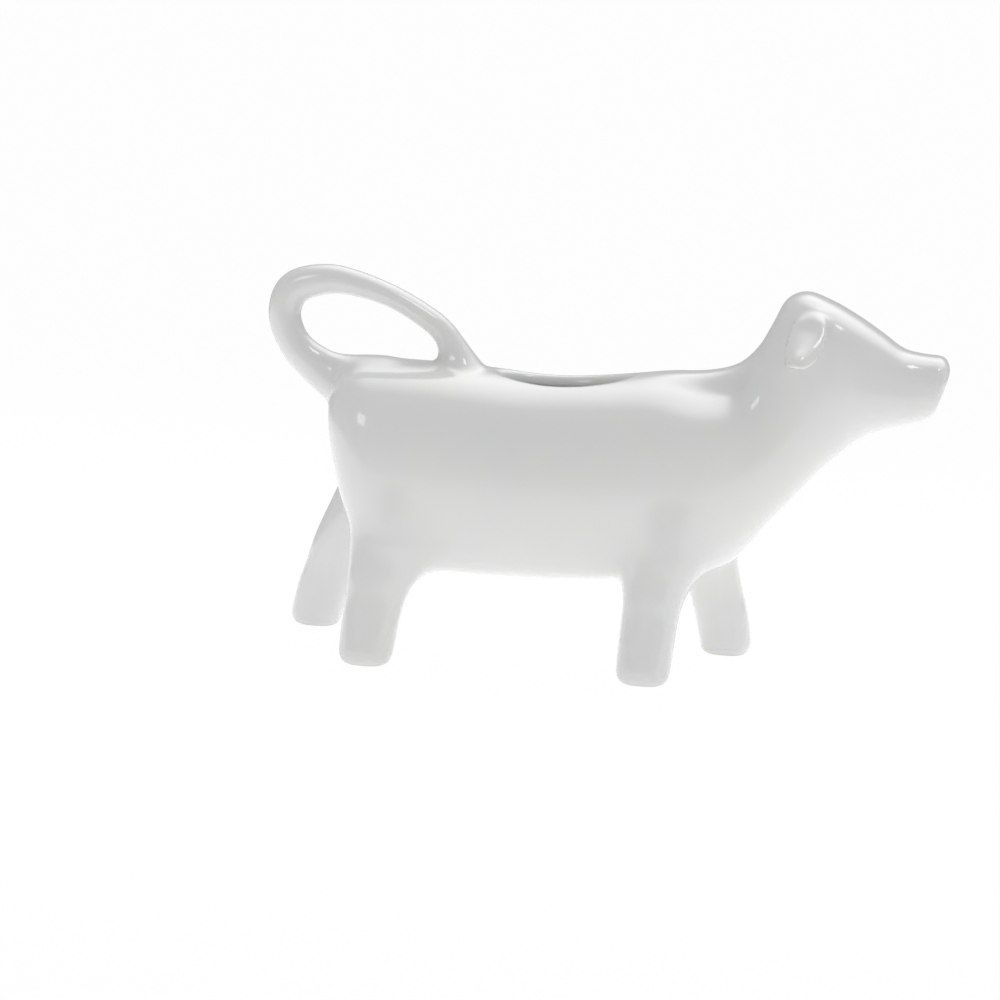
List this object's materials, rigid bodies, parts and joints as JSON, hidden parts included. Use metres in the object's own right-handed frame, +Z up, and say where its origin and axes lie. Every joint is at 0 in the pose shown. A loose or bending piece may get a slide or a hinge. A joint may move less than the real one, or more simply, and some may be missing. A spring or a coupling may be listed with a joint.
{
  "type": "cow creamer",
  "caption": "Small pouring jug shaped as a walking cow: filled through an oval hole in the back, held by the curled tail, pouring from the open mouth.",
  "frame": {"origin": "middle of the box around the cow, on the surface that its four feet stand on", "axes": "+X from the tail towards the nose, +Y to the cow's left, +Z up"},
  "size_m": [0.1344, 0.046, 0.0765],
  "materials": {
    "white_glaze": "gloss white glaze, soles of the feet unglazed"
  },
  "bodies": {
    "root": {"body_shell": "white_glaze", "head_spout": "white_glaze", "ear_left": "white_glaze", "ear_right": "white_glaze", "tail_handle": "white_glaze", "leg_front_left": "white_glaze", "leg_front_right": "white_glaze", "leg_rear_left": "white_glaze", "leg_rear_right": "white_glaze"}
  },
  "joints": []
}
